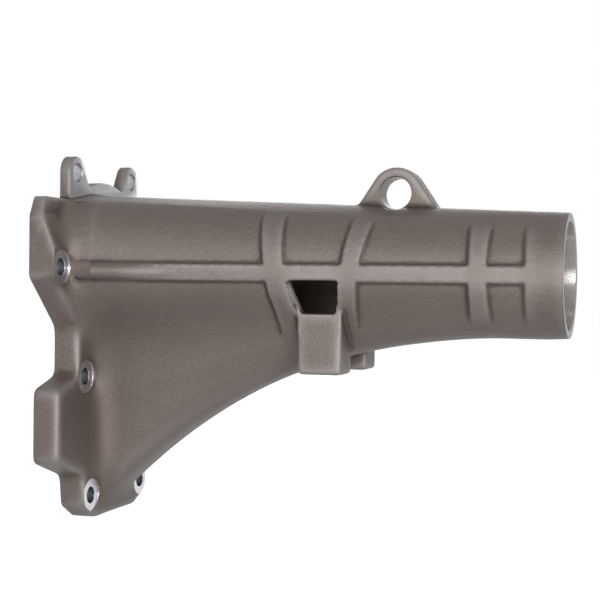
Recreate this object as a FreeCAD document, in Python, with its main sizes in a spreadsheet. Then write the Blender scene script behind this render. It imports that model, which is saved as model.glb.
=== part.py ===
"""Gearbox tail housing: a one-piece light-alloy casting, in millimetres.

+X runs along the tube and out of its tail, +Z is up, and the origin is the
centre of the tail bore in the tail's end face.  The flange is at -X.
"""
import FreeCAD
import Part
import math
import os
import Sketcher

V = FreeCAD.Vector
NAME = "gearbox_housing"

# A text that starts with "=" is a formula of the cells above it.
SIZES = {
    # Tube and tail
    "length_all": 330.0,
    "tail_radius": 39.5,
    "tail_bore_radius": 34.5,
    "tail_bore_depth": 48.0,
    "tail_band": 22.4,
    "wall": 5.5,
    "recess": 2.2,
    "bore_step": 2.0,
    "panel_side": 12.0,
    "panel_high": 50.0,
    "panel_low": 70.0,
    "skin_half_width": 71.0,
    "skin_top": 52.5,
    "skin_drop": 116.5,
    "skin_power": 2.65,
    # Flange
    "flange_thick": 18.0,
    "rear_x": "=length_all - flange_thick",
    "thin_thick": 8.4,
    "thin_x": "=length_all - thin_thick",
    "panel_gap": 14.0,
    "panel_fade": 60.0,
    "panel_least": 0.12,
    "panel_front": "=rear_x - panel_gap",
    "ramp_low": 15.0,
    "ramp_high": 38.0,
    "root_half": 52.5,
    "root_top": 53.2,
    "crown_half": 22.0,
    "flange_top": 48.0,
    "flange_half": 92.0,
    "shoulder_cut": 6.0,
    "shoulder_half": "=flange_half - shoulder_cut",
    "shoulder_height": 35.0,
    "ear_low": 4.0,
    "waist_half": 58.0,
    "waist_high": 37.0,
    "waist_low": 69.0,
    "bulge_half": 85.0,
    "bulge_high": 77.0,
    "bulge_low": 124.0,
    "toe_half": 50.0,
    "toe_high": 136.5,
    "toe_side": 47.5,
    "toe_turn": 157.0,
    "sole_half": 30.0,
    "flange_low": 167.5,
    "root_fillet": 8.0,
    # Flange holes and their spot faces
    "bolt_hole_radius": 5.5,
    "spot_radius": 11.0,
    "spot_deep": 0.6,
    "spot_reach": 14.0,
    "ear_edge": 9.8,
    "upper_hole_half": "=flange_half - ear_edge",
    "upper_hole_height": 2.6,
    "middle_hole_half": 47.7,
    "middle_hole_depth": 70.0,
    "lower_hole_half": 38.3,
    "lower_hole_depth": 150.5,
    # Tab with two lugs above the flange
    "tab_thick": 7.8,
    "lug_half": 41.3,
    "lug_height": 66.4,
    "lug_radius": 11.2,
    "lug_hole_radius": 6.25,
    "tab_half": 53.5,
    "tab_arch": 62.6,
    "tab_arch_radius": 80.0,
    # Eye on top of the tube
    "eye_x": "=0.336 * length_all",
    "eye_height": 52.5,
    "eye_radius": 17.0,
    "eye_hole_radius": 10.5,
    "eye_relief": 0.75,
    "eye_thick": 19.0,
    "eye_foot_half": 26.8,
    "eye_foot_height": 43.0,
    "eye_flank_half": 14.2,
    "eye_flank_height": 61.8,
    # Ribs round the tube
    "side_rib_high": 10.4,
    "rib_a_x": "=0.536 * length_all",
    "rib_a_wide": 12.6,
    "rib_a_tilt": -7.5,
    "rib_b_x": "=0.394 * length_all",
    "rib_b_wide": 11.4,
    "rib_b_tilt": 9.4,
    "rib_c_x": "=0.1545 * length_all",
    "rib_c_wide": 10.8,
    # Window between two ribs
    "window_top": 4.6,
    "window_low": 25.6,
    "window_x": "=0.4615 * length_all",
    "window_top_half": 15.8,
    "window_low_half": 11.2,
    "window_top_front": "=window_x + window_top_half",
    "window_top_back": "=window_x - window_top_half",
    "window_low_front": "=window_x + window_low_half",
    "window_low_back": "=window_x - window_low_half",
    # Feet under the tube
    "foot_front": "=0.503 * length_all",
    "foot_long": 29.5,
    "foot_inner": 18.0,
    "foot_wide": 25.0,
    "foot_low": 64.5,
    "foot_high": 20.0,
    "foot_hole_radius": 4.25,
    "foot_hole_deep": 14.0,
    # Allowance by which cutting solids pass a face
    "past": 40.0,
}

doc = FreeCAD.newDocument("housing")
sheet = doc.addObject("Spreadsheet::Sheet", "Sizes")
for row, (alias, value) in enumerate(SIZES.items(), start=1):
    sheet.set(f"A{row}", alias)
    sheet.set(f"B{row}", str(value))
    sheet.setAlias(f"B{row}", alias)
doc.recompute()


def size(text):
    """Value of a cell; a leading minus sign turns it round."""
    if text == "0":
        return 0.0
    if text.startswith("-"):
        return -float(sheet.get(text[1:]))
    return float(sheet.get(text))


def bound(text):
    """Expression for a cell, with or without a minus sign."""
    if text.startswith("-"):
        return "-Sizes." + text[1:]
    return "Sizes." + text


def bind(thing, **sizes):
    for name, expression in sizes.items():
        thing.setExpression(name, expression)
    return thing


def place(thing, x="0", y="0", z="0"):
    """Tie a solid's place to expressions."""
    for axis, expression in zip("xyz", (x, y, z)):
        if expression != "0":
            thing.setExpression(f"Placement.Base.{axis}", expression)
    return thing


ALONG_X = FreeCAD.Rotation(V(0, 0, 1), V(1, 0, 0))
ALONG_Y = FreeCAD.Rotation(V(0, 0, 1), V(0, 1, 0))
FACING_X = FreeCAD.Rotation(V(0, 1, 0), V(0, 0, 1), V(1, 0, 0), "ZXY")
FACING_Y = FreeCAD.Rotation(V(1, 0, 0), V(0, 0, 1), V(0, -1, 0), "ZXY")


def cylinder(name, radius, height, turn, x="0", y="0", z="0"):
    rod = doc.addObject("Part::Cylinder", name)
    rod.Placement = FreeCAD.Placement(V(), turn)
    bind(rod, Radius=radius, Height=height)
    return place(rod, x, y, z)


def box(name, length, width, height, x="0", y="0", z="0"):
    block = doc.addObject("Part::Box", name)
    bind(block, Length=length, Width=width, Height=height)
    return place(block, x, y, z)


def fuse(name, shapes):
    union = doc.addObject("Part::MultiFuse", name)
    union.Shapes = shapes
    return union


def cut(name, base, tool):
    rest = doc.addObject("Part::Cut", name)
    rest.Base = base
    rest.Tool = tool
    return rest


def common(name, base, tool):
    both = doc.addObject("Part::Common", name)
    both.Base = base
    both.Tool = tool
    return both


def outline(name, turn, corners):
    """Closed sketch whose corners are pairs of cells."""
    sketch = doc.addObject("Sketcher::SketchObject", name)
    sketch.Placement = FreeCAD.Placement(V(), turn)
    points = [V(size(a), size(b), 0) for a, b in corners]
    count = len(points)
    for i in range(count):
        sketch.addGeometry(Part.LineSegment(points[i], points[(i + 1) % count]))
    for i in range(count):
        sketch.addConstraint(Sketcher.Constraint("Coincident", i, 2, (i + 1) % count, 1))
    for i, (a, b) in enumerate(corners):
        for kind, cell, value in (("DistanceX", a, points[i].x), ("DistanceY", b, points[i].y)):
            index = sketch.addConstraint(Sketcher.Constraint(kind, i, 1, value))
            sketch.setExpression(f"Constraints[{index}]", bound(cell))
    return sketch


def extrude(name, sketch, length, direction, middle=False):
    solid = doc.addObject("Part::Extrusion", name)
    solid.Base = sketch
    solid.DirMode = "Custom"
    solid.Dir = direction
    solid.Solid = True
    solid.Symmetric = middle
    return bind(solid, LengthFwd=length)


# Cross-section of the casting: the angle on the round tail, then the share of the
# half width and of the height (or depth) where the same point lies at the flange,
# then the share of the recess by which the side panels lie inside it there.
HALF_SECTION = [
    (90, 0.00, 1.00, -0.5),
    (62, 0.45, 0.96, -0.4),
    (40, 0.82, 0.82, 0.7),
    (18, 1.00, 0.42, 1.0),
    (-4, 1.00, -0.03, 1.0),
    (-20, 0.80, -0.17, 1.0),
    (-35, 0.56, -0.30, 0.9),
    (-48, 0.45, -0.47, 0.4),
    (-58, 0.41, -0.68, -0.3),
    (-68, 0.39, -0.88, -0.5),
    (-80, 0.30, -0.98, -0.5),
    (-90, 0.00, -1.00, -0.5),
]


def section(x, inset=0.0, panel=0.0):
    """Closed spline across the tube at -x, drawn in all round and more at the panels.

    The panels rise to the full skin on their way to the flange.
    """
    faded = min(max((size("rear_x") - x) / size("panel_fade"), size("panel_least")), 1.0)
    tail = size("tail_radius")
    along = min(x / size("rear_x"), 1.0)
    wide = tail + (size("skin_half_width") - tail) * along
    high = tail + (size("skin_top") - tail) * along
    deep = tail + size("skin_drop") * along ** size("skin_power")
    blend = along ** 1.5
    half = []
    for angle, side, rise, share in HALF_SECTION:
        round_y = math.cos(math.radians(angle))
        round_z = math.sin(math.radians(angle))
        y = (round_y * (1 - blend) + side * blend) * wide
        z = (round_z * (1 - blend) + rise * blend) * (high if rise > 0 else deep)
        half.append((y, z, inset + panel * share * faded))
    ring = half + [(-y, z, drawn) for y, z, drawn in reversed(half[1:-1])]
    points = []
    for i, (y, z, drawn) in enumerate(ring):
        before = ring[i - 1]
        after = ring[(i + 1) % len(ring)]
        run = math.hypot(after[0] - before[0], after[1] - before[1])
        out_y = -(after[1] - before[1]) / run
        out_z = (after[0] - before[0]) / run
        points.append(V(-x, y - drawn * out_y, z - drawn * out_z))
    curve = Part.BSplineCurve()
    steps = [float(i) for i in range(len(points) + 1)]
    curve.interpolate(Points=points, PeriodicFlag=True, Parameters=steps)
    return Part.Wire([curve.toShape()])


def skin(name, stations, straight, inset=0.0, panel=0.0):
    """Smooth solid through the cross-sections, carried straight on from the flange's back."""
    solid = doc.addObject("Part::Feature", name)
    curved = Part.makeLoft([section(x, inset, panel) for x in stations], True, False)
    mouth = Part.Face(section(stations[-1], inset, panel))
    solid.Shape = curved.fuse(mouth.extrude(V(-straight, 0, 0)))
    return solid


# Tube: the full skin is the height of the ribs, the panels between them lie lower
rear_x = size("rear_x")
plate_deep = size("flange_thick")
shares = (0.0, 0.144, 0.288, 0.417, 0.545, 0.657, 0.769, 0.865, 0.942, 1.0)
stations = [share * rear_x for share in shares]
full_skin = skin("full_skin", stations, plate_deep)
panel_skin = skin("panel_skin", stations, plate_deep, 0.0, size("recess"))
hollow_start = size("tail_bore_depth") - size("bore_step")
hollow = skin("hollow", [hollow_start] + stations[2:], size("past"), size("wall") + size("recess"))

# Flange plate, thinner above a ramp, with a fillet where the tube leaves it
plate = box(
    "plate", "Sizes.flange_thick", "2 * Sizes.flange_half + Sizes.past",
    "Sizes.flange_low + 3 * Sizes.past",
    "-Sizes.length_all", "-Sizes.flange_half - Sizes.past / 2", "-Sizes.flange_low - Sizes.past / 2",
)
ramp = extrude(
    "ramp",
    outline("ramp_side", FACING_Y, [
        ("-rear_x", "ramp_low"),
        ("-past", "ramp_low"),
        ("-past", "flange_low"),
        ("-thin_x", "flange_low"),
        ("-thin_x", "ramp_high"),
    ]),
    "4 * Sizes.flange_half", V(0, 1, 0), True,
)
stepped_plate = cut("stepped_plate", plate, ramp)
joined = fuse("joined", [full_skin, stepped_plate])
doc.recompute()


def at_root(edge):
    """True for the edges where the tube's skin meets the back of the plate."""
    bounds = edge.BoundBox
    middle = edge.valueAt((edge.FirstParameter + edge.LastParameter) / 2)
    on_back = bounds.XMax < 0.1 - rear_x and bounds.XMin > -size("thin_x") - 0.1
    seam = bounds.XMin > -rear_x - 0.1 and middle.z > size("ramp_low")
    return on_back and not seam and edge.Curve.TypeId != "Part::GeomLine"


rooted = doc.addObject("Part::Fillet", "rooted")
rooted.Base = joined
radius = size("root_fillet")
root_edges = [i for i, edge in enumerate(joined.Shape.Edges, start=1) if at_root(edge)]
rooted.Edges = [(i, radius, radius) for i in root_edges]

# Everything ahead of the tube's panels is trimmed to the flange's outline
flange_outline = outline("flange_face", FACING_X, [
    ("-crown_half", "root_top"),
    ("-root_half", "flange_top"),
    ("-shoulder_half", "flange_top"),
    ("-flange_half", "shoulder_height"),
    ("-flange_half", "-ear_low"),
    ("-waist_half", "-waist_high"),
    ("-waist_half", "-waist_low"),
    ("-bulge_half", "-bulge_high"),
    ("-bulge_half", "-bulge_low"),
    ("-toe_half", "-toe_high"),
    ("-toe_side", "-toe_turn"),
    ("-sole_half", "-flange_low"),
    ("sole_half", "-flange_low"),
    ("toe_side", "-toe_turn"),
    ("toe_half", "-toe_high"),
    ("bulge_half", "-bulge_low"),
    ("bulge_half", "-bulge_high"),
    ("waist_half", "-waist_low"),
    ("waist_half", "-waist_high"),
    ("flange_half", "-ear_low"),
    ("flange_half", "shoulder_height"),
    ("shoulder_half", "flange_top"),
    ("root_half", "flange_top"),
    ("crown_half", "root_top"),
])
doc.recompute()
flange_prism = extrude(
    "flange_prism", flange_outline, "Sizes.flange_thick + Sizes.past", V(1, 0, 0)
)
place(flange_prism, "-Sizes.length_all")
behind = box(
    "behind", "Sizes.rear_x", "4 * Sizes.flange_half", "4 * Sizes.flange_half",
    "Sizes.past / 2 - Sizes.rear_x", "-2 * Sizes.flange_half", "-2.5 * Sizes.flange_half",
)
kept = fuse("kept_room", [flange_prism, behind])
trimmed = common("trimmed", rooted, kept)


# Side panels stand back from the horizontal rib, the bands across the tube and the tail band
def band(letter):
    """Block across the tube, leaned about Y, that leaves one rib of the full skin."""
    block = box(
        f"band_{letter}", f"Sizes.rib_{letter}_wide", "4 * Sizes.flange_half", "5 * Sizes.past",
    )
    lean = size(f"rib_{letter}_tilt") if letter != "c" else 0.0
    turn = FreeCAD.Rotation(V(0, 1, 0), lean)
    half = V(size(f"rib_{letter}_wide") / 2, 2 * size("flange_half"), 2.5 * size("past"))
    block.Placement = FreeCAD.Placement(V(-size(f"rib_{letter}_x"), 0, 0) - turn.multVec(half), turn)
    return block


rooms = []
for side, start in (("near", "-1.5 * Sizes.flange_half"), ("far", "Sizes.panel_side")):
    for level, foot, tall in (
        ("upper", "Sizes.side_rib_high / 2", "Sizes.panel_high - Sizes.side_rib_high / 2"),
        ("lower", "-Sizes.panel_low", "Sizes.panel_low - Sizes.side_rib_high / 2"),
    ):
        rooms.append(box(
            f"room_{side}_{level}", "Sizes.panel_front - Sizes.tail_band",
            "1.5 * Sizes.flange_half - Sizes.panel_side", tall,
            "-Sizes.panel_front", start, foot,
        ))
all_rooms = fuse("all_rooms", rooms)
bands = fuse("bands", [band("a"), band("b"), band("c")])
panel_rooms = cut("panel_rooms", all_rooms, bands)
pockets = cut("pockets", panel_rooms, panel_skin)

# Tab above the flange: an arched web with a lug at each end
web = box(
    "web", "Sizes.tab_thick", "2 * Sizes.tab_half", "Sizes.tab_arch - Sizes.flange_top",
    "-Sizes.length_all", "-Sizes.tab_half", "Sizes.flange_top",
)
arch = cylinder(
    "arch", "Sizes.tab_arch_radius", "Sizes.tab_thick", ALONG_X,
    "-Sizes.length_all", "0", "Sizes.tab_arch - Sizes.tab_arch_radius",
)
tab = [common("arched_web", web, arch)]
for side, sign in (("near", "-"), ("far", "")):
    tab.append(cylinder(
        f"lug_{side}", "Sizes.lug_radius", "Sizes.tab_thick", ALONG_X,
        "-Sizes.length_all", f"{sign}Sizes.lug_half", "Sizes.lug_height",
    ))
    tab.append(box(
        f"lug_neck_{side}", "Sizes.tab_thick", "2 * Sizes.lug_radius",
        "Sizes.lug_height - Sizes.flange_top",
        "-Sizes.length_all", f"{sign}Sizes.lug_half - Sizes.lug_radius", "Sizes.flange_top",
    ))

# Eye on top of the tube
eye_plate = extrude(
    "eye_plate",
    outline("eye_side", FACING_Y, [
        ("-eye_foot_half", "eye_foot_height"),
        ("eye_foot_half", "eye_foot_height"),
        ("eye_flank_half", "eye_flank_height"),
        ("-eye_flank_half", "eye_flank_height"),
    ]),
    "Sizes.eye_thick", V(0, 1, 0), True,
)
place(eye_plate, "-Sizes.eye_x")
eye_round = cylinder(
    "eye_round", "Sizes.eye_radius", "Sizes.eye_thick", ALONG_Y,
    "-Sizes.eye_x", "-Sizes.eye_thick / 2", "Sizes.eye_height",
)
eye_root = box(
    "eye_root", "2 * Sizes.eye_foot_half", "Sizes.eye_thick",
    "Sizes.eye_foot_height - Sizes.tail_radius + Sizes.wall",
    "-Sizes.eye_x - Sizes.eye_foot_half", "-Sizes.eye_thick / 2", "Sizes.tail_radius - Sizes.wall",
)

feet = [
    box(
        f"foot_{side}", "Sizes.foot_long", "Sizes.foot_wide", "Sizes.foot_low - Sizes.foot_high",
        "-Sizes.foot_front", start, "-Sizes.foot_low",
    )
    for side, start in (("near", "-Sizes.foot_inner - Sizes.foot_wide"), ("far", "Sizes.foot_inner"))
]

panelled = cut("panelled", trimmed, pockets)
outside = fuse("outside", [panelled, eye_plate, eye_round, eye_root] + tab + feet)

# Everything taken away: the hollow, the tail bore, the window and the holes
tail_bore = cylinder(
    "tail_bore", "Sizes.tail_bore_radius", "Sizes.tail_bore_depth + Sizes.past", ALONG_X,
    "-Sizes.tail_bore_depth",
)
window = extrude(
    "window",
    outline("window_side", FACING_Y, [
        ("-window_top_front", "-window_top"),
        ("-window_top_back", "-window_top"),
        ("-window_low_back", "-window_low"),
        ("-window_low_front", "-window_low"),
    ]),
    "2 * Sizes.flange_half", V(0, -1, 0),
)
eye_hole = cylinder(
    "eye_hole", "Sizes.eye_hole_radius", "2 * Sizes.eye_thick", ALONG_Y,
    "-Sizes.eye_x", "-Sizes.eye_thick", "Sizes.eye_height",
)
holes = [hollow, tail_bore, window, eye_hole]
# The tube's crown is scooped out a little wider in front of and behind the eye's hole
for side, start in (("near", "-Sizes.eye_thick / 2 - Sizes.past"), ("far", "Sizes.eye_thick / 2")):
    holes.append(cylinder(
        f"eye_relief_{side}", "Sizes.eye_hole_radius + Sizes.eye_relief", "Sizes.past", ALONG_Y,
        "-Sizes.eye_x", start, "Sizes.eye_height",
    ))
rows = (
    ("upper", "Sizes.upper_hole_half", "Sizes.upper_hole_height"),
    ("middle", "Sizes.middle_hole_half", "-Sizes.middle_hole_depth"),
    ("lower", "Sizes.lower_hole_half", "-Sizes.lower_hole_depth"),
)
for row_name, across, height in rows:
    for side, sign in (("near", "-"), ("far", "")):
        holes.append(cylinder(
            f"bolt_{row_name}_{side}", "Sizes.bolt_hole_radius", "2 * Sizes.past", ALONG_X,
            "-Sizes.length_all - Sizes.past", sign + across, height,
        ))
        holes.append(cylinder(
            f"spot_{row_name}_{side}", "Sizes.spot_radius", "Sizes.spot_reach", ALONG_X,
            "-Sizes.rear_x - Sizes.spot_deep", sign + across, height,
        ))
for side, sign in (("near", "-"), ("far", "")):
    holes.append(cylinder(
        f"lug_hole_{side}", "Sizes.lug_hole_radius", "2 * Sizes.past", ALONG_X,
        "-Sizes.length_all - Sizes.past", f"{sign}Sizes.lug_half", "Sizes.lug_height",
    ))
    foot_hole = doc.addObject("Part::Cylinder", f"foot_hole_{side}")
    bind(foot_hole, Radius="Sizes.foot_hole_radius", Height="Sizes.foot_hole_deep + Sizes.past")
    place(
        foot_hole, "Sizes.foot_long / 2 - Sizes.foot_front",
        f"{sign}(Sizes.foot_inner + Sizes.foot_wide / 2)", "-Sizes.foot_low - Sizes.past",
    )
    holes.append(foot_hole)
cutters = fuse("cutters", holes)
housing = cut(NAME, outside, cutters)
housing.Label = NAME
doc.recompute()

for thing in doc.Objects:
    if "Invalid" in thing.State or "Error" in thing.State:
        raise SystemExit(f"{thing.Name} failed: {thing.State}")
shape = housing.Shape
if shape.isNull() or not shape.isValid():
    raise SystemExit("the housing's shape isn't valid")
os.makedirs("parts", exist_ok=True)
shape.exportStep(f"parts/{NAME}.step")
print(NAME, len(shape.Solids), round(shape.Volume), shape.BoundBox)
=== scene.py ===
"""Looks of the gearbox tail housing: a light-alloy casting, rounded and grained as it comes
from its mould, then faced, bored, drilled and spot-faced.

Everything is in metres in the part's own frame: +X out of the tail, +Z up, flange at -X.
"""
import math

import bmesh
import bpy
from mathutils import Matrix, Vector
from mathutils.bvhtree import BVHTree


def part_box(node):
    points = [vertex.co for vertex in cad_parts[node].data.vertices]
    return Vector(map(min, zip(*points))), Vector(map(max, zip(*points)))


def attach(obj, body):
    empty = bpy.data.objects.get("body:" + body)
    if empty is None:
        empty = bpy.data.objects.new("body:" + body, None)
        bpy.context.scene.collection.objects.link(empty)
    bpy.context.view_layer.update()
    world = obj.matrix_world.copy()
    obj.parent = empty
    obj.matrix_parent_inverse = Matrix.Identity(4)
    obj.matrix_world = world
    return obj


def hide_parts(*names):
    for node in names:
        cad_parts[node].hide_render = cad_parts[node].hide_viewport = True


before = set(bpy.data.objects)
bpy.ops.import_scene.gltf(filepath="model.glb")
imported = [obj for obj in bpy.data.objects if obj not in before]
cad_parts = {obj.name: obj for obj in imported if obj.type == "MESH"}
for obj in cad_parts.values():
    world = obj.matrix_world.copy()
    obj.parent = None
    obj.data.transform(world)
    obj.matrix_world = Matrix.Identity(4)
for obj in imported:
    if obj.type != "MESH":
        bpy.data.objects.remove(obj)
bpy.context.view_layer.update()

bl_info = {
    "name": "Gearbox housing",
    "version": (1, 0, 0),
    "blender": (4, 5, 0),
    "location": "View3D > Sidebar > Housing",
    "description": "Casts, machines and stages the gearbox tail housing",
    "category": "Object",
}

NODE = "gearbox_housing"
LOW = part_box(NODE)[0]
MM = 0.001

# The flange's outline on its near side, from the top down, with each corner's radius, in mm
OUTLINE = [
    (22.0, 53.2, 0), (52.5, 48.0, 40), (86.0, 48.0, 3), (92.0, 35.0, 4), (92.0, -4.0, 4),
    (58.0, -37.0, 9), (58.0, -69.0, 6), (85.0, -77.0, 4), (85.0, -124.0, 4), (50.0, -136.5, 5),
    (47.5, -157.0, 6), (30.0, -167.5, 7),
]
# Hole centres from the middle plane and above the tube's axis, in mm
FLANGE_HOLES = [(82.2, 2.6), (47.7, -70.0), (38.3, -150.5)]
LUG_HOLES = [(41.3, 66.4)]
# Small wedge at the inner foot of a lug, and the milled back of the tab, both (y, z) in mm
LUG_FOOT = [(30.5, 70.0), (25.0, 60.0), (31.0, 58.0), (33.0, 62.0)]
TAB_BACK = [
    (-56.0, 49.5), (-52.5, 48.6), (-22.0, 53.8), (22.0, 53.8), (52.5, 48.6), (56.0, 49.5),
    (56.0, 90.0), (-56.0, 90.0),
]
# Foot holes as (x, y) and the eye's middle as (x, z), both in mm
FOOT_HOLES = [(-151.24, 30.5)]
EYE = (-110.88, 52.5)

# From here on in metres. Start and end of the horizontal rib's raised part beside the flange,
# its half height and its depth
RIB = (-0.3075, -0.242, 0.0056, 0.005)
# The rib's middle above the tube's axis, the share of its depth that it keeps inside the wall, the
# place that it is level with nearer the flange, and how far it stands out there at least
RIB_MIDDLE = 0.0005
RIB_BACK = 0.2
RIB_FULL = -0.283
RIB_LIP = 0.0004

# Metal that the raw casting has on its tail, and how far one shape reaches into the next
TAIL_STOCK = 0.003
LAP = 0.0002
# Tolerances for points at one place along the tube, for flat faces and for welding
NEAR = 2e-5
FLAT = 1e-5
WELD = 1e-6
# Plugs: how much wider they are than their holes, the back of those in the tab (from the flange's
# front), half the eye's, and the tail bore's inner radius, outer radius and depth
PLUG_EXTRA = 0.0006
TAB_PLUG = 0.0077
EYE_PLUG = 0.0094
TAIL_PLUG = (0.0325, 0.0358, 0.0515)
# Foot holes: their radius, their plugs' radius, bottom and top, and their tools' bottom and length
FOOT_RADIUS = 0.00425
FOOT_PLUG = (0.0049, -0.0644, -0.048)
FOOT_TOOL = (-0.0745, 0.024)
# Reach of the blades that round the flange's corners, before its front and behind its back
BLADE_FRONT = 0.01
BLADE_BACK = 0.0205
CORNER_TIP = 0.004

# Room that a cutting tool needs outside the casting, a hole tool's length, the room over a spot
# face and the depth of its bright cut
TOOL_PAST = 0.02
TOOL_LENGTH = 0.04
SPOT_ROOM = 0.016
SPOT_CUT = 0.0008
FACE_RADIUS = 0.4
# Where the cut of the tab's back ends along the tube
TAB_CUT = -0.300
# The bevels of the eye: their starts on the near and the far side, length, and how much narrower
# and wider than the hole they are
EYE_MOUTHS = (-0.0088, 0.0108, 0.002, 0.0001, 0.0019)
SHARP_ANGLE = 38
# Spacing of the rings that a cutter leaves on a milled face
RING_STEP = 0.0006

# Where a rounding comes in along x, along z or with the distance from the nearest flange hole:
# none at the first number, all at the second
FADES = {
    "root": (-0.258, -0.288), "plate": (-0.3185, -0.3145), "crown": (0.048, 0.040),
    "rib_below": (-0.0145, -0.0065), "rib_above": (0.0155, 0.0075),
    "clear_of_hole": (0.0115, 0.0175),
    "low_flange_x": (-0.294, -0.302), "low_flange_z": (-0.002, -0.014), "by_hole": (0.011, 0.015),
    "feet_x": (-0.19, -0.18), "feet_z": (-0.036, -0.044),
    "eye_x": (-0.16, -0.15), "eye_z": (0.040, 0.044),
}
# How strongly the soft areas are eased, and how little the rib and the edges by a hole are
SOFT = {"low_flange": 0.35, "feet": 0.12, "eye": 0.06, "rib": 0.02, "by_hole": 0.1}

# Area lamps as (name, place, side of the square, watts), and where they aim
LAMPS = (
    ("front_light", (-0.06, -1.25, 0.04), 0.6, 17.0),
    ("right_light", (0.80, -1.05, 0.12), 0.6, 17.0),
    ("back_light", (-0.45, 1.30, 0.30), 0.8, 9.0),
)
LAMP_AIM = (-0.16, 0, -0.03)
FLOOR_SIZE = 8.0
FLOOR_GREY = 0.42
FLOOR_GLOW = 0.95
ROOM_LIGHT = 0.11
# The photograph's camera: place, turn, tilt and roll in degrees, and focal length in pixels of an
# image 600 wide
CAMERA_PLACE = (0.09104, -0.81888, -0.0074)
CAMERA_TURN = (18.19, -0.67, 0.61)
FOCAL_PIXELS = 1288.05
IMAGE_WIDTH = 600
SENSOR = 36


class HousingSizes(bpy.types.PropertyGroup):
    """Sizes of the casting's and the machining's detail"""
    grain_step: bpy.props.FloatProperty(
        name="Surface step", description="Spacing of the casting's surface points",
        default=0.001, unit="LENGTH", precision=4)
    round_steps: bpy.props.IntProperty(
        name="Edge rounding", description="How often the soft cast edges are eased", default=30)
    sharp_share: bpy.props.FloatProperty(
        name="Crisp edges", description="Share of that easing that the crisp edges get",
        default=0.015, subtype="FACTOR")
    fillet_steps: bpy.props.IntProperty(
        name="Flange fillet", description="How often the fillets at the flange's back are eased",
        default=150)
    wave_height: bpy.props.FloatProperty(
        name="Skin waves", description="Height of the skin's slow waves",
        default=0.0002, unit="LENGTH", precision=5)
    keep_share: bpy.props.FloatProperty(
        name="Kept faces", description="Share of the casting's faces that are kept",
        default=0.22, subtype="FACTOR")
    plate_back: bpy.props.FloatProperty(
        name="Flange back", description="Place of the flange's back face along the tube",
        default=-0.312, unit="LENGTH", precision=4)
    spot_depth: bpy.props.FloatProperty(
        name="Spot face depth", description="How far a spot face lies below the cast skin",
        default=0.0006, unit="LENGTH", precision=5)
    spot_radius: bpy.props.FloatProperty(
        name="Spot face radius", description="Radius of the ring milled round a flange hole",
        default=0.011, unit="LENGTH", precision=4)
    bolt_radius: bpy.props.FloatProperty(
        name="Flange hole radius", description="Radius of the six flange holes",
        default=0.0055, unit="LENGTH", precision=4)
    lug_radius: bpy.props.FloatProperty(
        name="Lug hole radius", description="Radius of the two lug holes",
        default=0.00625, unit="LENGTH", precision=5)
    eye_radius: bpy.props.FloatProperty(
        name="Eye hole radius", description="Radius of the hole through the eye",
        default=0.0105, unit="LENGTH", precision=4)
    bore_radius: bpy.props.FloatProperty(
        name="Tail bore radius", description="Radius of the bore in the tail",
        default=0.0345, unit="LENGTH", precision=4)
    bore_depth: bpy.props.FloatProperty(
        name="Tail bore depth", description="Depth of the bore in the tail",
        default=0.048, unit="LENGTH", precision=4)
    edge_break: bpy.props.FloatProperty(
        name="Edge break", description="Width of the small bevel at the mouth of a hole",
        default=0.0005, unit="LENGTH", precision=5)
    rib_proud: bpy.props.FloatProperty(
        name="Rib height", description="How far the horizontal rib stands out beside the flange",
        default=0.0048, unit="LENGTH", precision=4)
    stock: bpy.props.FloatProperty(
        name="Front stock",
        description="Metal in front of the flange that the facing cut takes off",
        default=0.008, unit="LENGTH", precision=4)
    tab_face: bpy.props.FloatProperty(
        name="Tab face", description="Place along the tube of the milled back of the upper tab",
        default=-0.3227, unit="LENGTH", precision=4)


class HousingColours(bpy.types.PropertyGroup):
    """Colours of the cast skin, of its painted shade and painted highlight, and of the machined
    faces
    """
    skin: bpy.props.FloatVectorProperty(
        name="Cast skin", description="Colour of the blasted skin",
        default=(0.105, 0.084, 0.073), subtype="COLOR", min=0, max=1)
    # Painted shade: the darker brown laid into fillets and pits
    painted_hollow_shade: bpy.props.FloatVectorProperty(
        name="Hollows", description="Colour in fillets and pits",
        default=(0.080, 0.061, 0.047), subtype="COLOR", min=0, max=1)
    # Painted highlight: the lighter colour laid onto raised edges
    edge_highlight: bpy.props.FloatVectorProperty(
        name="Edges", description="Colour of the highlight painted on raised edges",
        default=(0.190, 0.177, 0.168), subtype="COLOR", min=0, max=1)
    milled: bpy.props.FloatVectorProperty(
        name="Milled faces", description="Colour of faces cut bright",
        default=(0.25, 0.25, 0.262), subtype="COLOR", min=0, max=1)
    bored: bpy.props.FloatVectorProperty(
        name="Tail bore", description="Colour of the turned bore",
        default=(0.50, 0.47, 0.45), subtype="COLOR", min=0, max=1)
    reamed: bpy.props.FloatVectorProperty(
        name="Eye hole", description="Colour of the wall of the hole through the eye",
        default=(0.15, 0.135, 0.128), subtype="COLOR", min=0, max=1)


# ---- shapes ----

def mesh_object(name, mesh):
    """New object in the scene that shows the mesh."""
    made = bpy.data.objects.new(name, mesh)
    bpy.context.scene.collection.objects.link(made)
    return made


def applied(made):
    """The object with its modifiers turned into a plain mesh."""
    graph = bpy.context.evaluated_depsgraph_get()
    mesh = bpy.data.meshes.new_from_object(
        made.evaluated_get(graph), preserve_all_data_layers=True, depsgraph=graph)
    made.modifiers.clear()
    made.data = mesh
    return made


def drum(bm, start, end, radius, sides=96):
    """Closed cylinder between two points."""
    axis = Vector(end) - Vector(start)
    turn = axis.to_track_quat("Z", "Y").to_matrix().to_4x4()
    place = Matrix.Translation((Vector(start) + Vector(end)) / 2) @ turn
    bmesh.ops.create_cone(
        bm, cap_ends=True, segments=sides, radius1=radius, radius2=radius, depth=axis.length,
        matrix=place)


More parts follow.
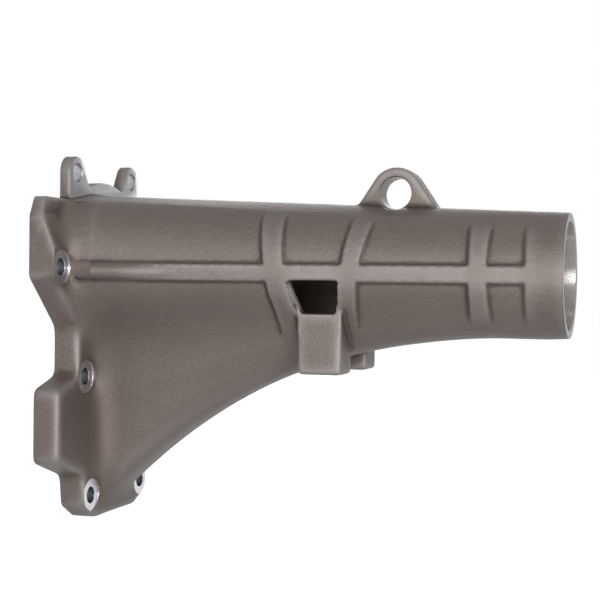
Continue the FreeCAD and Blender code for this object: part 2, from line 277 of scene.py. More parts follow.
def prism(bm, ring, front, back):
    """Closed prism along X over a ring of (y, z)."""
    low = [bm.verts.new((front, y, z)) for y, z in ring]
    high = [bm.verts.new((back, y, z)) for y, z in ring]
    count = len(ring)
    faces = [bm.faces.new(low), bm.faces.new(high)]
    for i in range(count):
        j = (i + 1) % count
        faces.append(bm.faces.new((low[i], low[j], high[j], high[i])))
    bmesh.ops.recalc_face_normals(bm, faces=faces)


def corner_piece(before, corner, after, radius, tip):
    """Ring of (y, z) between a corner and the arc that rounds it; tip moves the corner outwards."""
    corner, before, after = Vector(corner), Vector(before), Vector(after)
    to_before = (before - corner).normalized()
    to_after = (after - corner).normalized()
    half = to_before.angle(to_after) / 2
    reach = min(radius / math.tan(half), 0.48 * (before - corner).length,
                0.48 * (after - corner).length)
    radius = reach * math.tan(half)
    middle = corner + (to_before + to_after).normalized() * (radius / math.sin(half))
    first = corner + to_before * reach
    last = corner + to_after * reach
    ring = [corner - (to_before + to_after).normalized() * tip]
    if tip:
        ring.append(first - (to_after - to_before * to_after.dot(to_before)).normalized() * tip)
    a0 = math.atan2(first.y - middle.y, first.x - middle.x)
    a1 = math.atan2(last.y - middle.y, last.x - middle.x)
    sweep = (a1 - a0 + math.pi) % (2 * math.pi) - math.pi
    for i in range(13):
        angle = a0 + sweep * i / 12
        ring.append(middle + Vector((math.cos(angle), math.sin(angle))) * radius)
    if tip:
        ring.append(last - (to_before - to_after * to_after.dot(to_before)).normalized() * tip)
    return [(y, z) for y, z in ring]


def corner_rings():
    """Rings that fill the outline's inner corners, and rings that take off its outer ones."""
    fills, cuts = [], []
    for side in (-1, 1):
        points = [(side * y * MM, z * MM) for y, z, _ in OUTLINE]
        for i in range(1, len(OUTLINE)):
            before = points[i - 1]
            after = points[i + 1] if i + 1 < len(points) else (-points[i][0], points[i][1])
            one = Vector(points[i]) - Vector(before)
            two = Vector(after) - Vector(points[i])
            inner = (one.x * two.y - one.y * two.x) * side > 0
            ring = corner_piece(before, points[i], after, OUTLINE[i][2] * MM,
                                0 if inner else CORNER_TIP)
            (fills if inner else cuts).append(ring)
    return fills, cuts


def pull_out(bm, at, step):
    """Stock left on the faces that lie flat at one place along the tube."""
    flat = [f for f in bm.faces if all(abs(v.co.x - at) < FLAT for v in f.verts)]
    grown = bmesh.ops.extrude_face_region(bm, geom=flat)
    for part in grown["geom"]:
        if isinstance(part, bmesh.types.BMVert):
            part.co.x += step
    bmesh.ops.delete(bm, geom=flat, context="FACES_ONLY")


def raised_rib(bm, skin, side, proud):
    """Half-round rib on the tube's side that sinks into the skin away from the flange."""
    start, end, half, deep = RIB
    count, around = 24, 20
    far_out = 0.2
    rows = []
    for i in range(count + 1):
        share = i / count
        x = start + (end - start) * share
        hit, far = (
            abs(skin.ray_cast(Vector((at, side * far_out, RIB_MIDDLE)), Vector((0, -side, 0)))[0].y)
            for at in (x, max(x, RIB_FULL)))
        # Rounded end over the first 6 % of the rib
        full = min(1.0, math.sqrt(1.0 - (1.0 - min(1.0, (share + 0.02) * 12)) ** 2))
        middle = side * (max(hit + proud * (1.0 - share), far + RIB_LIP) - deep)
        row = []
        for k in range(around):
            out, up = math.cos(math.tau * k / around), math.sin(math.tau * k / around)
            out *= 1.0 if out > 0 else RIB_BACK
            row.append(bm.verts.new((
                x, middle + side * deep * full * out, RIB_MIDDLE + half * full * up)))
        rows.append(row)
    made = [bm.faces.new(rows[0]), bm.faces.new(rows[-1])]
    for a, b in zip(rows, rows[1:]):
        for k in range(around):
            j = (k + 1) % around
            made.append(bm.faces.new((a[k], a[j], b[j], b[k])))
    bmesh.ops.recalc_face_normals(bm, faces=made)


def raw_casting(sizes):
    """The casting before any machining: its holes are plugged and its faces carry stock."""
    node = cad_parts[NODE]
    bm = bmesh.new()
    bm.from_mesh(node.data)
    bmesh.ops.remove_doubles(bm, verts=bm.verts, dist=WELD)
    skin = BVHTree.FromBMesh(bm)
    floor = sizes.plate_back - sizes.spot_depth
    for v in bm.verts:
        if abs(v.co.x - floor) < NEAR:
            for y, z in FLANGE_HOLES:
                away = math.hypot(abs(v.co.y) - y * MM, v.co.z - z * MM)
                if away < sizes.spot_radius + NEAR:
                    v.co.x = sizes.plate_back
                    break
    pull_out(bm, 0.0, TAIL_STOCK)
    pull_out(bm, LOW[0], -sizes.stock)
    body = bpy.data.meshes.new("raw_body")
    bm.to_mesh(body)
    bm.free()
    raw = mesh_object("raw_body", body)

    fills, cuts = corner_rings()
    bm = bmesh.new()
    for ring in cuts:
        prism(bm, ring, LOW[0] - BLADE_FRONT, sizes.plate_back + BLADE_BACK)
    blades = bpy.data.meshes.new("corner_blades")
    bm.to_mesh(blades)
    bm.free()
    blade = mesh_object("corner_blades", blades)
    trim = raw.modifiers.new("corners", "BOOLEAN")
    trim.operation = "DIFFERENCE"
    trim.solver = "MANIFOLD"
    trim.object = blade
    applied(raw)
    bpy.data.objects.remove(blade)

    bm = bmesh.new()
    bm.from_mesh(raw.data)
    front = LOW[0] - sizes.stock + LAP
    for ring in fills:
        prism(bm, ring, front, sizes.plate_back - LAP / 2)
    plug_radius, plug_bottom, plug_top = FOOT_PLUG
    for side in (-1, 1):
        raised_rib(bm, skin, side, sizes.rib_proud)
        prism(bm, [(side * y * MM, z * MM) for y, z in LUG_FOOT], front, LOW[0] + TAB_PLUG)
        for y, z in FLANGE_HOLES:
            drum(bm, (front, side * y * MM, z * MM),
                 (sizes.plate_back - LAP, side * y * MM, z * MM), sizes.bolt_radius + PLUG_EXTRA)
        for y, z in LUG_HOLES:
            drum(bm, (front, side * y * MM, z * MM),
                 (LOW[0] + TAB_PLUG, side * y * MM, z * MM), sizes.lug_radius + PLUG_EXTRA)
        for x, y in FOOT_HOLES:
            drum(bm, (x * MM, side * y * MM, plug_bottom), (x * MM, side * y * MM, plug_top),
                 plug_radius)
    eye_x, eye_z = EYE[0] * MM, EYE[1] * MM
    drum(bm, (eye_x, -EYE_PLUG, eye_z), (eye_x, EYE_PLUG, eye_z), sizes.eye_radius + PLUG_EXTRA)

    # Lining of the tail bore: one closed ring with a square section
    inner, outer, deep = TAIL_PLUG
    around = 96
    ring = [(math.cos(math.tau * i / around), math.sin(math.tau * i / around))
            for i in range(around)]
    rows = []
    for x, radius in ((TAIL_STOCK, outer), (TAIL_STOCK, inner), (-deep, inner), (-deep, outer)):
        rows.append([bm.verts.new((x, radius * c, radius * s)) for c, s in ring])
    made = []
    for a, b in zip(rows, rows[1:] + rows[:1]):
        for i in range(around):
            j = (i + 1) % around
            made.append(bm.faces.new((a[i], a[j], b[j], b[i])))
    bmesh.ops.recalc_face_normals(bm, faces=made)
    bm.to_mesh(raw.data)
    bm.free()
    return raw


# ---- node trees ----

def add(tree, kind, links=None, **settings):
    """A node with its settings; each of links is a socket to join or a value to set."""
    made = tree.nodes.new(kind)
    for name, value in settings.items():
        setattr(made, name, value)
    for slot, value in (links or {}).items():
        if isinstance(value, bpy.types.NodeSocket):
            tree.links.new(value, made.inputs[slot])
        else:
            made.inputs[slot].default_value = value
    return made


def sums(tree, operation, *values):
    """Result of one sum on sockets and numbers."""
    return add(tree, "ShaderNodeMath", dict(enumerate(values)), operation=operation).outputs[0]


def ramp(tree, value, low, high, to_low=0.0, to_high=1.0, easing="LINEAR"):
    """Value from low to high turned into to_low to to_high, and held at both ends."""
    return add(tree, "ShaderNodeMapRange", {
        "Value": value, "From Min": low, "From Max": high, "To Min": to_low, "To Max": to_high,
    }, interpolation_type=easing).outputs["Result"]


def tree_inputs(tree, rows):
    """Named inputs of a tree; gives each one's identifier for the modifier."""
    names = {}
    for key, label, kind, default in rows:
        socket = tree.interface.new_socket(label, in_out="INPUT", socket_type="NodeSocket" + kind)
        if default is not None:
            socket.default_value = default
        names[key] = socket.identifier
    return names


def close_tree(tree, given, geometry):
    """Last nodes of a tree: its instances made real and its material set."""
    tree.interface.new_socket("Shape", in_out="OUTPUT", socket_type="NodeSocketGeometry")
    real = add(tree, "GeometryNodeRealizeInstances", {0: geometry})
    dress = add(tree, "GeometryNodeSetMaterial", {
        "Geometry": real.outputs[0], "Material": given.outputs["Material"],
    })
    add(tree, "NodeGroupOutput", {0: dress.outputs[0]})


def eased_places(tree, place, steps, weight=1.0):
    """Places drawn towards those of their neighbours."""
    return add(tree, "GeometryNodeBlurAttribute", {
        "Value": place, "Iterations": steps, "Weight": weight,
    }, data_type="FLOAT_VECTOR").outputs[0]


def hollowness(tree, place, normal, steps):
    """How far a point lies behind its surroundings, in mm; more than nothing in a fillet."""
    spread = eased_places(tree, place, steps)
    away = add(tree, "ShaderNodeVectorMath", {0: spread, 1: place}, operation="SUBTRACT").outputs[0]
    deep = add(tree, "ShaderNodeVectorMath", {0: away, 1: normal},
               operation="DOT_PRODUCT").outputs["Value"]
    return sums(tree, "MULTIPLY", deep, 1000.0)


def hole_distance(tree, y, z):
    """How far a place is from the middle of the nearest flange hole, seen along the tube."""
    flat = add(tree, "ShaderNodeCombineXYZ", {1: sums(tree, "ABSOLUTE", y), 2: z}).outputs[0]
    nearest = 1.0
    for across, height in FLANGE_HOLES:
        away = add(tree, "ShaderNodeVectorMath", {0: flat, 1: (0, across * MM, height * MM)},
                   operation="DISTANCE").outputs["Value"]
        nearest = sums(tree, "MINIMUM", away, nearest)
    return nearest


def skin_tree():
    """Eases the casting's edges, widens the fillets at the flange and gives the skin slow waves."""
    tree = bpy.data.node_groups.new("cast_skin_tree", "GeometryNodeTree")
    names = tree_inputs(tree, (
        ("geometry", "Casting", "Geometry", None),
        ("steps", "Rounding Steps", "Int", 30),
        ("sharp", "Sharp Edge Share", "Float", 0.015),
        ("fillet", "Fillet Steps", "Int", 150),
        ("height", "Wave Height", "Float", 0.0002),
        ("length", "Wave Length", "Float", 0.018),
        ("reach", "Hollow Steps", "Int", 60),
        ("crease", "Crease Steps", "Int", 8),
        ("material", "Material", "Material", None),
    ))
    given = add(tree, "NodeGroupInput")
    place = add(tree, "GeometryNodeInputPosition").outputs[0]
    normal = add(tree, "GeometryNodeInputNormal").outputs[0]
    x, y, z = add(tree, "ShaderNodeSeparateXYZ", {0: place}).outputs
    smooth = "SMOOTHSTEP"

    # Fillets between the flange's back and the tube, widest below the horizontal rib
    near_flange = sums(tree, "MULTIPLY", ramp(tree, x, *FADES["root"], easing=smooth),
                       ramp(tree, x, *FADES["plate"], easing=smooth))
    under_crown = ramp(tree, z, *FADES["crown"], easing=smooth)
    by_rib = sums(tree, "MULTIPLY", ramp(tree, z, *FADES["rib_below"], easing=smooth),
                  ramp(tree, z, *FADES["rib_above"], easing=smooth))
    room = sums(tree, "MULTIPLY", near_flange, under_crown)
    hollow = ramp(
        tree, hollowness(tree, place, normal, given.outputs["Hollow Steps"]), 0.05, 0.5)
    share = add(tree, "GeometryNodeBlurAttribute", {
        "Value": sums(tree, "MULTIPLY", room, hollow), "Iterations": 30,
    }, data_type="FLOAT").outputs[0]
    from_hole = hole_distance(tree, y, z)
    clear = sums(tree, "MULTIPLY", ramp(tree, from_hole, *FADES["clear_of_hole"], easing=smooth),
                 ramp(tree, by_rib, 0.0, 1.0, 1.0, SOFT["rib"]))
    share = sums(tree, "MULTIPLY", share, clear)
    fillets = add(tree, "GeometryNodeSetPosition", {
        "Geometry": given.outputs["Casting"],
        "Position": eased_places(tree, place, given.outputs["Fillet Steps"], share),
    }).outputs[0]

    # Edges: soft on the lower flange, the feet and the eye, crisp elsewhere
    low_flange, feet, eye = (
        sums(tree, "MULTIPLY", ramp(tree, x, *FADES[name + "_x"], easing=smooth),
             ramp(tree, z, *FADES[name + "_z"], 0.0, SOFT[name], easing=smooth))
        for name in ("low_flange", "feet", "eye"))
    low_flange = sums(tree, "MULTIPLY", low_flange,
                      ramp(tree, from_hole, *FADES["by_hole"], SOFT["by_hole"]))
    soft = sums(tree, "MAXIMUM", sums(tree, "MAXIMUM", low_flange, feet), eye)
    weight = sums(tree, "MAXIMUM", soft, given.outputs["Sharp Edge Share"])
    edges = add(tree, "GeometryNodeSetPosition", {
        "Geometry": fillets,
        "Position": eased_places(tree, place, given.outputs["Rounding Steps"], weight),
    }).outputs[0]

    # Waves, most of them inwards, so that the casting stays inside its box
    noise = add(tree, "ShaderNodeTexNoise", {
        "Vector": place, "Scale": sums(tree, "DIVIDE", 1.0, given.outputs["Wave Length"]),
        "Detail": 1.5,
    }).outputs[0]
    rise = sums(tree, "MULTIPLY", sums(tree, "SUBTRACT", noise, 0.75), given.outputs["Wave Height"])
    shift = add(tree, "ShaderNodeVectorMath", {0: normal, "Scale": rise},
                operation="SCALE").outputs[0]
    noted = add(tree, "GeometryNodeSetPosition", {"Geometry": edges, "Offset": shift}).outputs[0]

    # What the skin's material reads to paint shade into hollows and creases and a highlight onto
    # raised edges, except that the rib by the flange doesn't count as hollow
    off_rib = ramp(tree, sums(tree, "MULTIPLY", by_rib, near_flange), 0.0, 1.0, 1.0, 0.1)
    noted_as = (("hollow", "Hollow Steps", off_rib), ("crease", "Crease Steps", 1.0))
    for name, label, counted in noted_as:
        deep = hollowness(tree, place, normal, given.outputs[label])
        noted = add(tree, "GeometryNodeStoreNamedAttribute", {
            "Geometry": noted, "Name": name, "Value": sums(tree, "MULTIPLY", deep, counted),
        }, data_type="FLOAT", domain="POINT").outputs[0]
    close_tree(tree, given, noted)
    return tree, names


def tool_tree():
    """Puts one closed round tool on every point, all turned the same way."""
    tree = bpy.data.node_groups.new("round_tools_tree", "GeometryNodeTree")
    names = tree_inputs(tree, (
        ("geometry", "Centres", "Geometry", None),
        ("front", "Front Radius", "Float", 0.0055),
        ("back", "Back Radius", "Float", 0.0055),
        ("length", "Length", "Float", 0.03),
        ("turn", "Turn", "Rotation", None),
        ("material", "Material", "Material", None),
    ))
    given = add(tree, "NodeGroupInput")
    cone = add(tree, "GeometryNodeMeshCone", {
        "Vertices": 96, "Radius Bottom": given.outputs["Front Radius"],
        "Radius Top": given.outputs["Back Radius"], "Depth": given.outputs["Length"],
    }).outputs["Mesh"]
    put = add(tree, "GeometryNodeInstanceOnPoints", {
        "Points": given.outputs["Centres"], "Instance": cone, "Rotation": given.outputs["Turn"],
    }).outputs[0]
    close_tree(tree, given, put)
    return tree, names


ALONG_X = (0.0, math.pi / 2, 0.0)
ALONG_Y = (math.pi / 2, 0.0, 0.0)
UPRIGHT = (0.0, 0.0, 0.0)


def round_tools(made_tree, name, centres, front, back, length, turn, material):
    """Mesh of equal round tools; each starts at its centre and runs along +Z, turned."""
    tree, names = made_tree
    mesh = bpy.data.meshes.new(name)
    mesh.from_pydata([tuple(c) for c in centres], [], [])
    tools = mesh_object(name, mesh)
    nodes = tools.modifiers.new("tools", "NODES")
    nodes.node_group = tree
    for key, value in (("front", front), ("back", back), ("length", length), ("turn", turn),
                       ("material", material)):
        nodes[names[key]] = value
    return applied(tools)


def shaped_tool(name, ring, front, back, material):
    """Mesh of one flat cutter over a ring of (y, z), in mm."""
    bm = bmesh.new()
    prism(bm, [(y * MM, z * MM) for y, z in ring], front, back)
    mesh = bpy.data.meshes.new(name)
    bm.to_mesh(mesh)
    bm.free()
    mesh.materials.append(material)
    return mesh_object(name, mesh)


def machine(casting, tools):
    """Cuts the tools' room out of the casting and drops the tools."""
    step = casting.modifiers.new(tools.name, "BOOLEAN")
    step.operation = "DIFFERENCE"
    step.solver = "MANIFOLD"
    step.material_mode = "TRANSFER"
    step.object = tools
    applied(casting)
    bpy.data.objects.remove(tools)


# ---- materials ----

def plain_material(name, colour, metallic, specular=0.5):
    """Material of one even colour, with its node tree and its shader."""
    made = bpy.data.materials.new(name)
    made.use_nodes = True
    shader = made.node_tree.nodes["Principled BSDF"]
    shader.inputs["Base Color"].default_value = (*colour, 1)
    shader.inputs["Metallic"].default_value = metallic
    shader.inputs["Specular IOR Level"].default_value = specular
    return made, made.node_tree, shader


def noise_node(tree, vector, scale, detail=3.0, rough=0.55):
    """Noise from nothing to one; scale is in waves a metre."""
    return add(tree, "ShaderNodeTexNoise", {
        "Vector": vector, "Scale": scale, "Detail": detail, "Roughness": rough,
    }).outputs["Fac"]


def mix_colour(tree, share, one, two):
    """Colour between two; each is a socket or three numbers."""
    one, two = (c if isinstance(c, bpy.types.NodeSocket) else (*c, 1) for c in (one, two))
    return add(tree, "ShaderNodeMix", {"Factor": share, 6: one, 7: two},
               data_type="RGBA").outputs[2]


def shade(colour, factor):
    """The colour made lighter or darker."""
    return tuple(min(1.0, c * factor) for c in colour)


def rough_bump(tree, shader, layers):
    """Bumps laid over each other; each layer is a height with its strength and its depth."""
    before = None
    for height, strength, depth in layers:
        links = {"Height": height, "Strength": strength, "Distance": depth}
        if before is not None:
            links["Normal"] = before
        before = add(tree, "ShaderNodeBump", links).outputs[0]
    tree.links.new(before, shader.inputs["Normal"])


def cast_material(colours):
    """Blasted skin with a fine grain, painted shade in fillets and creases and painted highlight on
    edges.
    """
    skin, dark = tuple(colours.skin), tuple(colours.painted_hollow_shade)
    made, tree, shader = plain_material("blasted_cast_skin", skin, 0.3, 0.5)
    spot = add(tree, "ShaderNodeTexCoord").outputs["Object"]
    hollow = add(tree, "ShaderNodeAttribute", attribute_name="hollow").outputs["Fac"]
    crease = add(tree, "ShaderNodeAttribute", attribute_name="crease").outputs["Fac"]
    cloud = noise_node(tree, spot, 28.0, 4.0, 0.6)
    peel = noise_node(tree, spot, 330.0, 2.0, 0.5)
    grain = noise_node(tree, spot, 1200.0, 2.0, 0.6)
    fine = noise_node(tree, spot, 2600.0, 2.0, 0.6)
    base = mix_colour(tree, ramp(tree, cloud, 0.35, 0.7), shade(skin, 0.9), shade(skin, 1.08))
    base = mix_colour(tree, ramp(tree, grain, 0.32, 0.68), shade(skin, 0.6), base)
    base = mix_colour(tree, ramp(tree, fine, 0.55, 0.8, 0.0, 0.5), base, shade(skin, 1.6))
    # Painted shade: darker brown in the fillets and other hollows
    base = mix_colour(tree, ramp(tree, hollow, 0.05, 0.6, 0.0, 0.85), base, dark)
    # Painted highlight: lighter on raised edges
    base = mix_colour(tree, ramp(tree, hollow, -0.2, -1.2, 0.0, 0.6), base, tuple(colours.edge_highlight))
    # Painted shade: near black in tight creases, such as beside the ribs
    base = mix_colour(tree, ramp(tree, crease, 0.05, 0.18, 0.0, 0.8), base, shade(dark, 0.3))
    tree.links.new(base, shader.inputs["Base Color"])
    tree.links.new(ramp(tree, grain, 0.3, 0.7, 0.46, 0.60), shader.inputs["Roughness"])
    rough_bump(tree, shader, ((peel, 0.35, 0.0006), (grain, 0.6, 0.0003), (fine, 0.35, 0.00015)))
    return made


def milled_material(name, colour, rough):
    """Bright cut metal with the cutter's fine rings round the nearest hole."""
    made, tree, shader = plain_material(name, colour, 1.0)
    spot = add(tree, "ShaderNodeTexCoord").outputs["Object"]
    _, y, z = add(tree, "ShaderNodeSeparateXYZ", {0: spot}).outputs
    turns = sums(tree, "MULTIPLY", hole_distance(tree, y, z), math.tau / RING_STEP)
    rings = sums(tree, "SINE", turns)
    cloud = noise_node(tree, spot, 120.0, 3.0)
    fine = noise_node(tree, spot, 1500.0, 2.0)
    base = mix_colour(tree, ramp(tree, cloud, 0.3, 0.7), shade(colour, 0.86), shade(colour, 1.06))
    tree.links.new(base, shader.inputs["Base Color"])
    uneven = ramp(tree, fine, 0.3, 0.7, rough * 0.85, rough * 1.2)
    tree.links.new(uneven, shader.inputs["Roughness"])
    rough_bump(tree, shader, ((rings, 0.25, 0.00004), (fine, 0.25, 0.0001)))
    return made


def bored_material(name, colour, rough):
    """Turned metal whose fine grooves run round the tube's axis."""
    made, tree, shader = plain_material(name, colour, 0.75)
    spot = add(tree, "ShaderNodeTexCoord").outputs["Object"]
    x, y, z = add(tree, "ShaderNodeSeparateXYZ", {0: spot}).outputs
    round_axis = add(tree, "ShaderNodeCombineXYZ", {
        1: sums(tree, "MULTIPLY", z, -1.0), 2: y,
    }).outputs[0]
    tangent = add(tree, "ShaderNodeVectorMath", {0: round_axis}, operation="NORMALIZE").outputs[0]
    tree.links.new(tangent, shader.inputs["Tangent"])
    # A quarter turn, so that the shine runs across the grooves
    shader.inputs["Anisotropic"].default_value = 0.8
    shader.inputs["Anisotropic Rotation"].default_value = 0.25
    cloud = noise_node(tree, spot, 60.0, 3.0)
    grooves = noise_node(tree, add(tree, "ShaderNodeCombineXYZ", {0: x}).outputs[0], 2500.0, 2.0)
    base = mix_colour(tree, ramp(tree, cloud, 0.35, 0.65), shade(colour, 0.8), shade(colour, 1.05))
    tree.links.new(base, shader.inputs["Base Color"])
    uneven = ramp(tree, grooves, 0.3, 0.7, rough * 0.8, rough * 1.25)
    tree.links.new(uneven, shader.inputs["Roughness"])
    rough_bump(tree, shader, ((grooves, 0.2, 0.00005),))
    return made


# ---- operators ----

class HOUSING_OT_casting(bpy.types.Operator):
    """Cast body: rounded edges, fillets and blasted skin"""
    bl_idname = "housing.casting"
    bl_label = "Casting"

    def execute(self, context):
        sizes = context.scene.housing_sizes
        skin = cast_material(context.scene.housing_colours)
        raw = raw_casting(sizes)
        mould = raw.modifiers.new("mould", "REMESH")
        mould.mode = "VOXEL"
        mould.voxel_size = sizes.grain_step
        tree, names = skin_tree()
        finish = raw.modifiers.new("skin", "NODES")
        finish.node_group = tree
        finish[names["steps"]] = sizes.round_steps
        finish[names["sharp"]] = sizes.sharp_share
        finish[names["fillet"]] = sizes.fillet_steps
        finish[names["height"]] = sizes.wave_height
        finish[names["material"]] = skin
        thin = raw.modifiers.new("thin", "DECIMATE")
        thin.ratio = sizes.keep_share
        applied(raw)
        raw.name = "housing_casting"
        raw.data.name = "housing_casting"
        return {"FINISHED"}


class HOUSING_OT_machining(bpy.types.Operator):
    """Machining: faced ends, tail bore, milled tab, drilled and spot-faced holes"""
    bl_idname = "housing.machining"
    bl_label = "Machining"

    def execute(self, context):
        sizes = context.scene.housing_sizes
        colours = context.scene.housing_colours
        casting = bpy.data.objects["housing_casting"]
        skin = bpy.data.materials["blasted_cast_skin"]
        milled = milled_material("milled_alloy", tuple(colours.milled), 0.36)
        # Painted light: the spot faces get the milled colour 2.3 times lighter, as they are seen
        # almost edge-on
        spot_cut = milled_material("spot_faced_alloy", shade(tuple(colours.milled), 2.3), 0.36)
        # Painted light: the drilled walls get the milled colour 1.7 times lighter against the shade
        # inside the holes
        drilled = milled_material("drilled_alloy", shade(tuple(colours.milled), 1.7), 0.22)
        bored = bored_material("bored_alloy", tuple(colours.bored), 0.26)
        reamed = milled_material("reamed_alloy", tuple(colours.reamed), 0.45)

        floor = sizes.plate_back - sizes.spot_depth
        front = LOW[0] - TOOL_PAST
        bolt, lug, eye = sizes.bolt_radius, sizes.lug_radius, sizes.eye_radius
        bore, spot, wide = sizes.bore_radius, sizes.spot_radius, FACE_RADIUS
        b = sizes.edge_break
        holes = [(s * y * MM, z * MM) for y, z in FLANGE_HOLES for s in (-1, 1)]
        lugs = [(s * y * MM, z * MM) for y, z in LUG_HOLES for s in (-1, 1)]
        foot_start, foot_length = FOOT_TOOL
        feet = [(x * MM, s * y * MM, foot_start) for x, y in FOOT_HOLES for s in (-1, 1)]
        eye_x, eye_z = EYE[0] * MM, EYE[1] * MM
        near, far, mouth, less, more = EYE_MOUTHS
        # Each tool: name, centres, radius at the start and the end, length, turn and material
        cuts = (
            ("front_face", [(front, 0, 0)], wide, wide, TOOL_PAST, ALONG_X, milled),
            ("tail_face", [(0, 0, 0)], wide, wide, TOOL_PAST, ALONG_X, milled),
            ("tail_bore", [(-sizes.bore_depth, 0, 0)], bore, bore,
             sizes.bore_depth + TOOL_PAST, ALONG_X, bored),
            ("tail_mouth", [(-2 * b, 0, 0)], bore - b, bore + 2 * b, 3 * b, ALONG_X, milled),
            ("spot_rooms", [(floor + LAP, y, z) for y, z in holes], spot, spot, SPOT_ROOM,
             ALONG_X, skin),
            ("spot_faces", [(floor, y, z) for y, z in holes], spot, spot, SPOT_CUT, ALONG_X,
             spot_cut),
            ("flange_holes", [(front, y, z) for y, z in holes], bolt, bolt, TOOL_LENGTH, ALONG_X,
             drilled),
            ("hole_mouths", [(floor - b, y, z) for y, z in holes], bolt - b / 2, bolt + b * 1.5,
             2 * b, ALONG_X, drilled),
            ("lug_holes", [(front, y, z) for y, z in lugs], lug, lug, TOOL_LENGTH, ALONG_X,
             drilled),
            ("lug_mouths", [(sizes.tab_face - b, y, z) for y, z in lugs], lug - b / 2,
             lug + b * 1.5, 2 * b, ALONG_X, drilled),
            ("eye_hole", [(eye_x, TOOL_LENGTH / 2, eye_z)], eye, eye, TOOL_LENGTH, ALONG_Y, reamed),
            ("eye_near_mouth", [(eye_x, near, eye_z)], eye - less, eye + more, mouth, ALONG_Y,
             reamed),
            ("eye_far_mouth", [(eye_x, far, eye_z)], eye + more, eye - less, mouth, ALONG_Y,
             reamed),
            ("foot_holes", feet, FOOT_RADIUS, FOOT_RADIUS, foot_length, UPRIGHT, drilled),
        )
        machine(casting, shaped_tool("tab_back", TAB_BACK, sizes.tab_face, TAB_CUT, milled))
        made_tree = tool_tree()
        for row in cuts:
            machine(casting, round_tools(made_tree, *row))
        casting.data.shade_smooth()
        casting.data.set_sharp_from_angle(angle=math.radians(SHARP_ANGLE))
        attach(casting, "root")
        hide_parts(NODE)
        return {"FINISHED"}


def shown(tree, path):
    """One for what the camera sees straight or in metal and glass, nothing for other light."""
    seen = sums(tree, "ADD", path.outputs["Is Camera Ray"], path.outputs["Is Glossy Ray"])
    return sums(tree, "MINIMUM", sums(tree, "ADD", seen, path.outputs["Is Transmission Ray"]), 1.0)


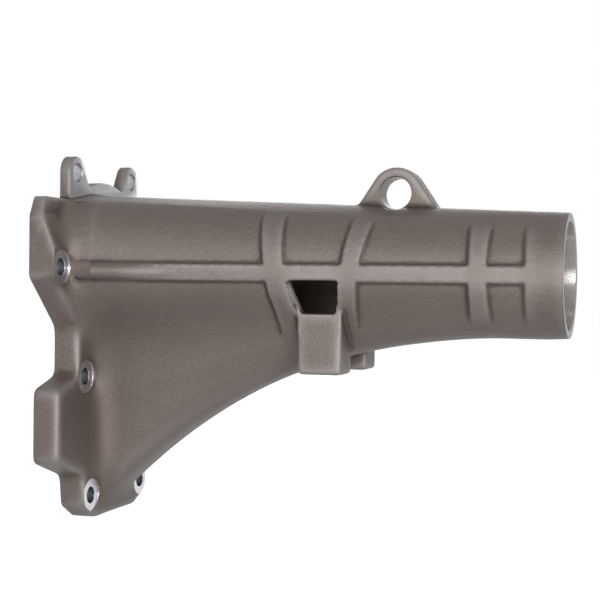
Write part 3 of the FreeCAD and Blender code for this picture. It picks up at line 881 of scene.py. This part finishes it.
class HOUSING_OT_stage(bpy.types.Operator):
    """Stage: floor, soft lights and the camera"""
    bl_idname = "housing.stage"
    bl_label = "Stage"

    def execute(self, context):
        scene = context.scene
        scene.view_settings.view_transform = "Standard"
        bm = bmesh.new()
        bmesh.ops.create_grid(bm, x_segments=1, y_segments=1, size=FLOOR_SIZE)
        bmesh.ops.translate(bm, verts=bm.verts, vec=(0, 0, LOW[2] - LAP))
        floor_mesh = bpy.data.meshes.new("studio_floor")
        bm.to_mesh(floor_mesh)
        bm.free()
        floor = mesh_object("studio_floor", floor_mesh)
        made, tree, shader = plain_material("pale_floor", (FLOOR_GREY,) * 3, 0.0, 0.0)
        shader.inputs["Roughness"].default_value = 1.0
        path = add(tree, "ShaderNodeLightPath")
        glow = add(tree, "ShaderNodeEmission", {
            "Color": (1, 1, 1, 1),
            "Strength": sums(tree, "MULTIPLY", shown(tree, path), FLOOR_GLOW),
        })
        both = add(tree, "ShaderNodeAddShader", {0: shader.outputs[0], 1: glow.outputs[0]})
        tree.links.new(both.outputs[0], tree.nodes["Material Output"].inputs["Surface"])
        floor.data.materials.append(made)

        world = bpy.data.worlds.new("studio")
        scene.world = world
        world.use_nodes = True
        tree = world.node_tree
        lit = tree.nodes["Background"]
        lit.inputs["Color"].default_value = (1.0, 1.0, 1.0, 1)
        lit.inputs["Strength"].default_value = ROOM_LIGHT
        white = add(tree, "ShaderNodeBackground", {"Color": (1, 1, 1, 1), "Strength": 1.0})
        path = add(tree, "ShaderNodeLightPath")
        mix = add(tree, "ShaderNodeMixShader", {
            0: shown(tree, path), 1: lit.outputs[0], 2: white.outputs[0],
        })
        tree.links.new(mix.outputs[0], tree.nodes["World Output"].inputs[0])

        aim_at = Vector(LAMP_AIM)
        for name, place, size, power in LAMPS:
            lamp = bpy.data.lights.new(name, "AREA")
            lamp.size = size
            lamp.energy = power
            hung = bpy.data.objects.new(name, lamp)
            hung.location = place
            hung.rotation_euler = (aim_at - Vector(place)).to_track_quat("-Z", "Y").to_euler()
            scene.collection.objects.link(hung)

        azimuth, pitch, roll = (math.radians(angle) for angle in CAMERA_TURN)
        look = Vector((-math.sin(azimuth) * math.cos(pitch), math.cos(azimuth) * math.cos(pitch),
                       math.sin(pitch)))
        level = Vector((math.cos(azimuth), math.sin(azimuth), 0))
        upright = level.cross(look)
        right = math.cos(roll) * level + math.sin(roll) * upright
        up = -math.sin(roll) * level + math.cos(roll) * upright
        turn = Matrix((right, up, -look)).transposed().to_4x4()
        lens = bpy.data.cameras.new("camera")
        lens.lens = FOCAL_PIXELS * SENSOR / IMAGE_WIDTH
        lens.clip_start = 0.01
        camera = bpy.data.objects.new("camera", lens)
        camera.matrix_world = Matrix.Translation(CAMERA_PLACE) @ turn
        scene.collection.objects.link(camera)
        scene.camera = camera
        return {"FINISHED"}


class HOUSING_PT_panel(bpy.types.Panel):
    """Sidebar panel with the sizes, the colours and the steps"""
    bl_idname = "HOUSING_PT_panel"
    bl_label = "Gearbox housing"
    bl_space_type = "VIEW_3D"
    bl_region_type = "UI"
    bl_category = "Housing"

    def draw(self, context):
        column = self.layout.column()
        for group in (context.scene.housing_sizes, context.scene.housing_colours):
            for name in group.__annotations__:
                column.prop(group, name)
        for step in (HOUSING_OT_casting, HOUSING_OT_machining, HOUSING_OT_stage):
            column.operator(step.bl_idname)


CLASSES = (
    HousingSizes, HousingColours, HOUSING_OT_casting, HOUSING_OT_machining, HOUSING_OT_stage,
    HOUSING_PT_panel,
)


def register():
    for made in CLASSES:
        bpy.utils.register_class(made)
    bpy.types.Scene.housing_sizes = bpy.props.PointerProperty(type=HousingSizes)
    bpy.types.Scene.housing_colours = bpy.props.PointerProperty(type=HousingColours)


def unregister():
    del bpy.types.Scene.housing_colours
    del bpy.types.Scene.housing_sizes
    for made in reversed(CLASSES):
        bpy.utils.unregister_class(made)


def main():
    register()
    bpy.ops.housing.casting()
    bpy.ops.housing.machining()
    bpy.ops.housing.stage()


if __name__ == "__main__":
    main()
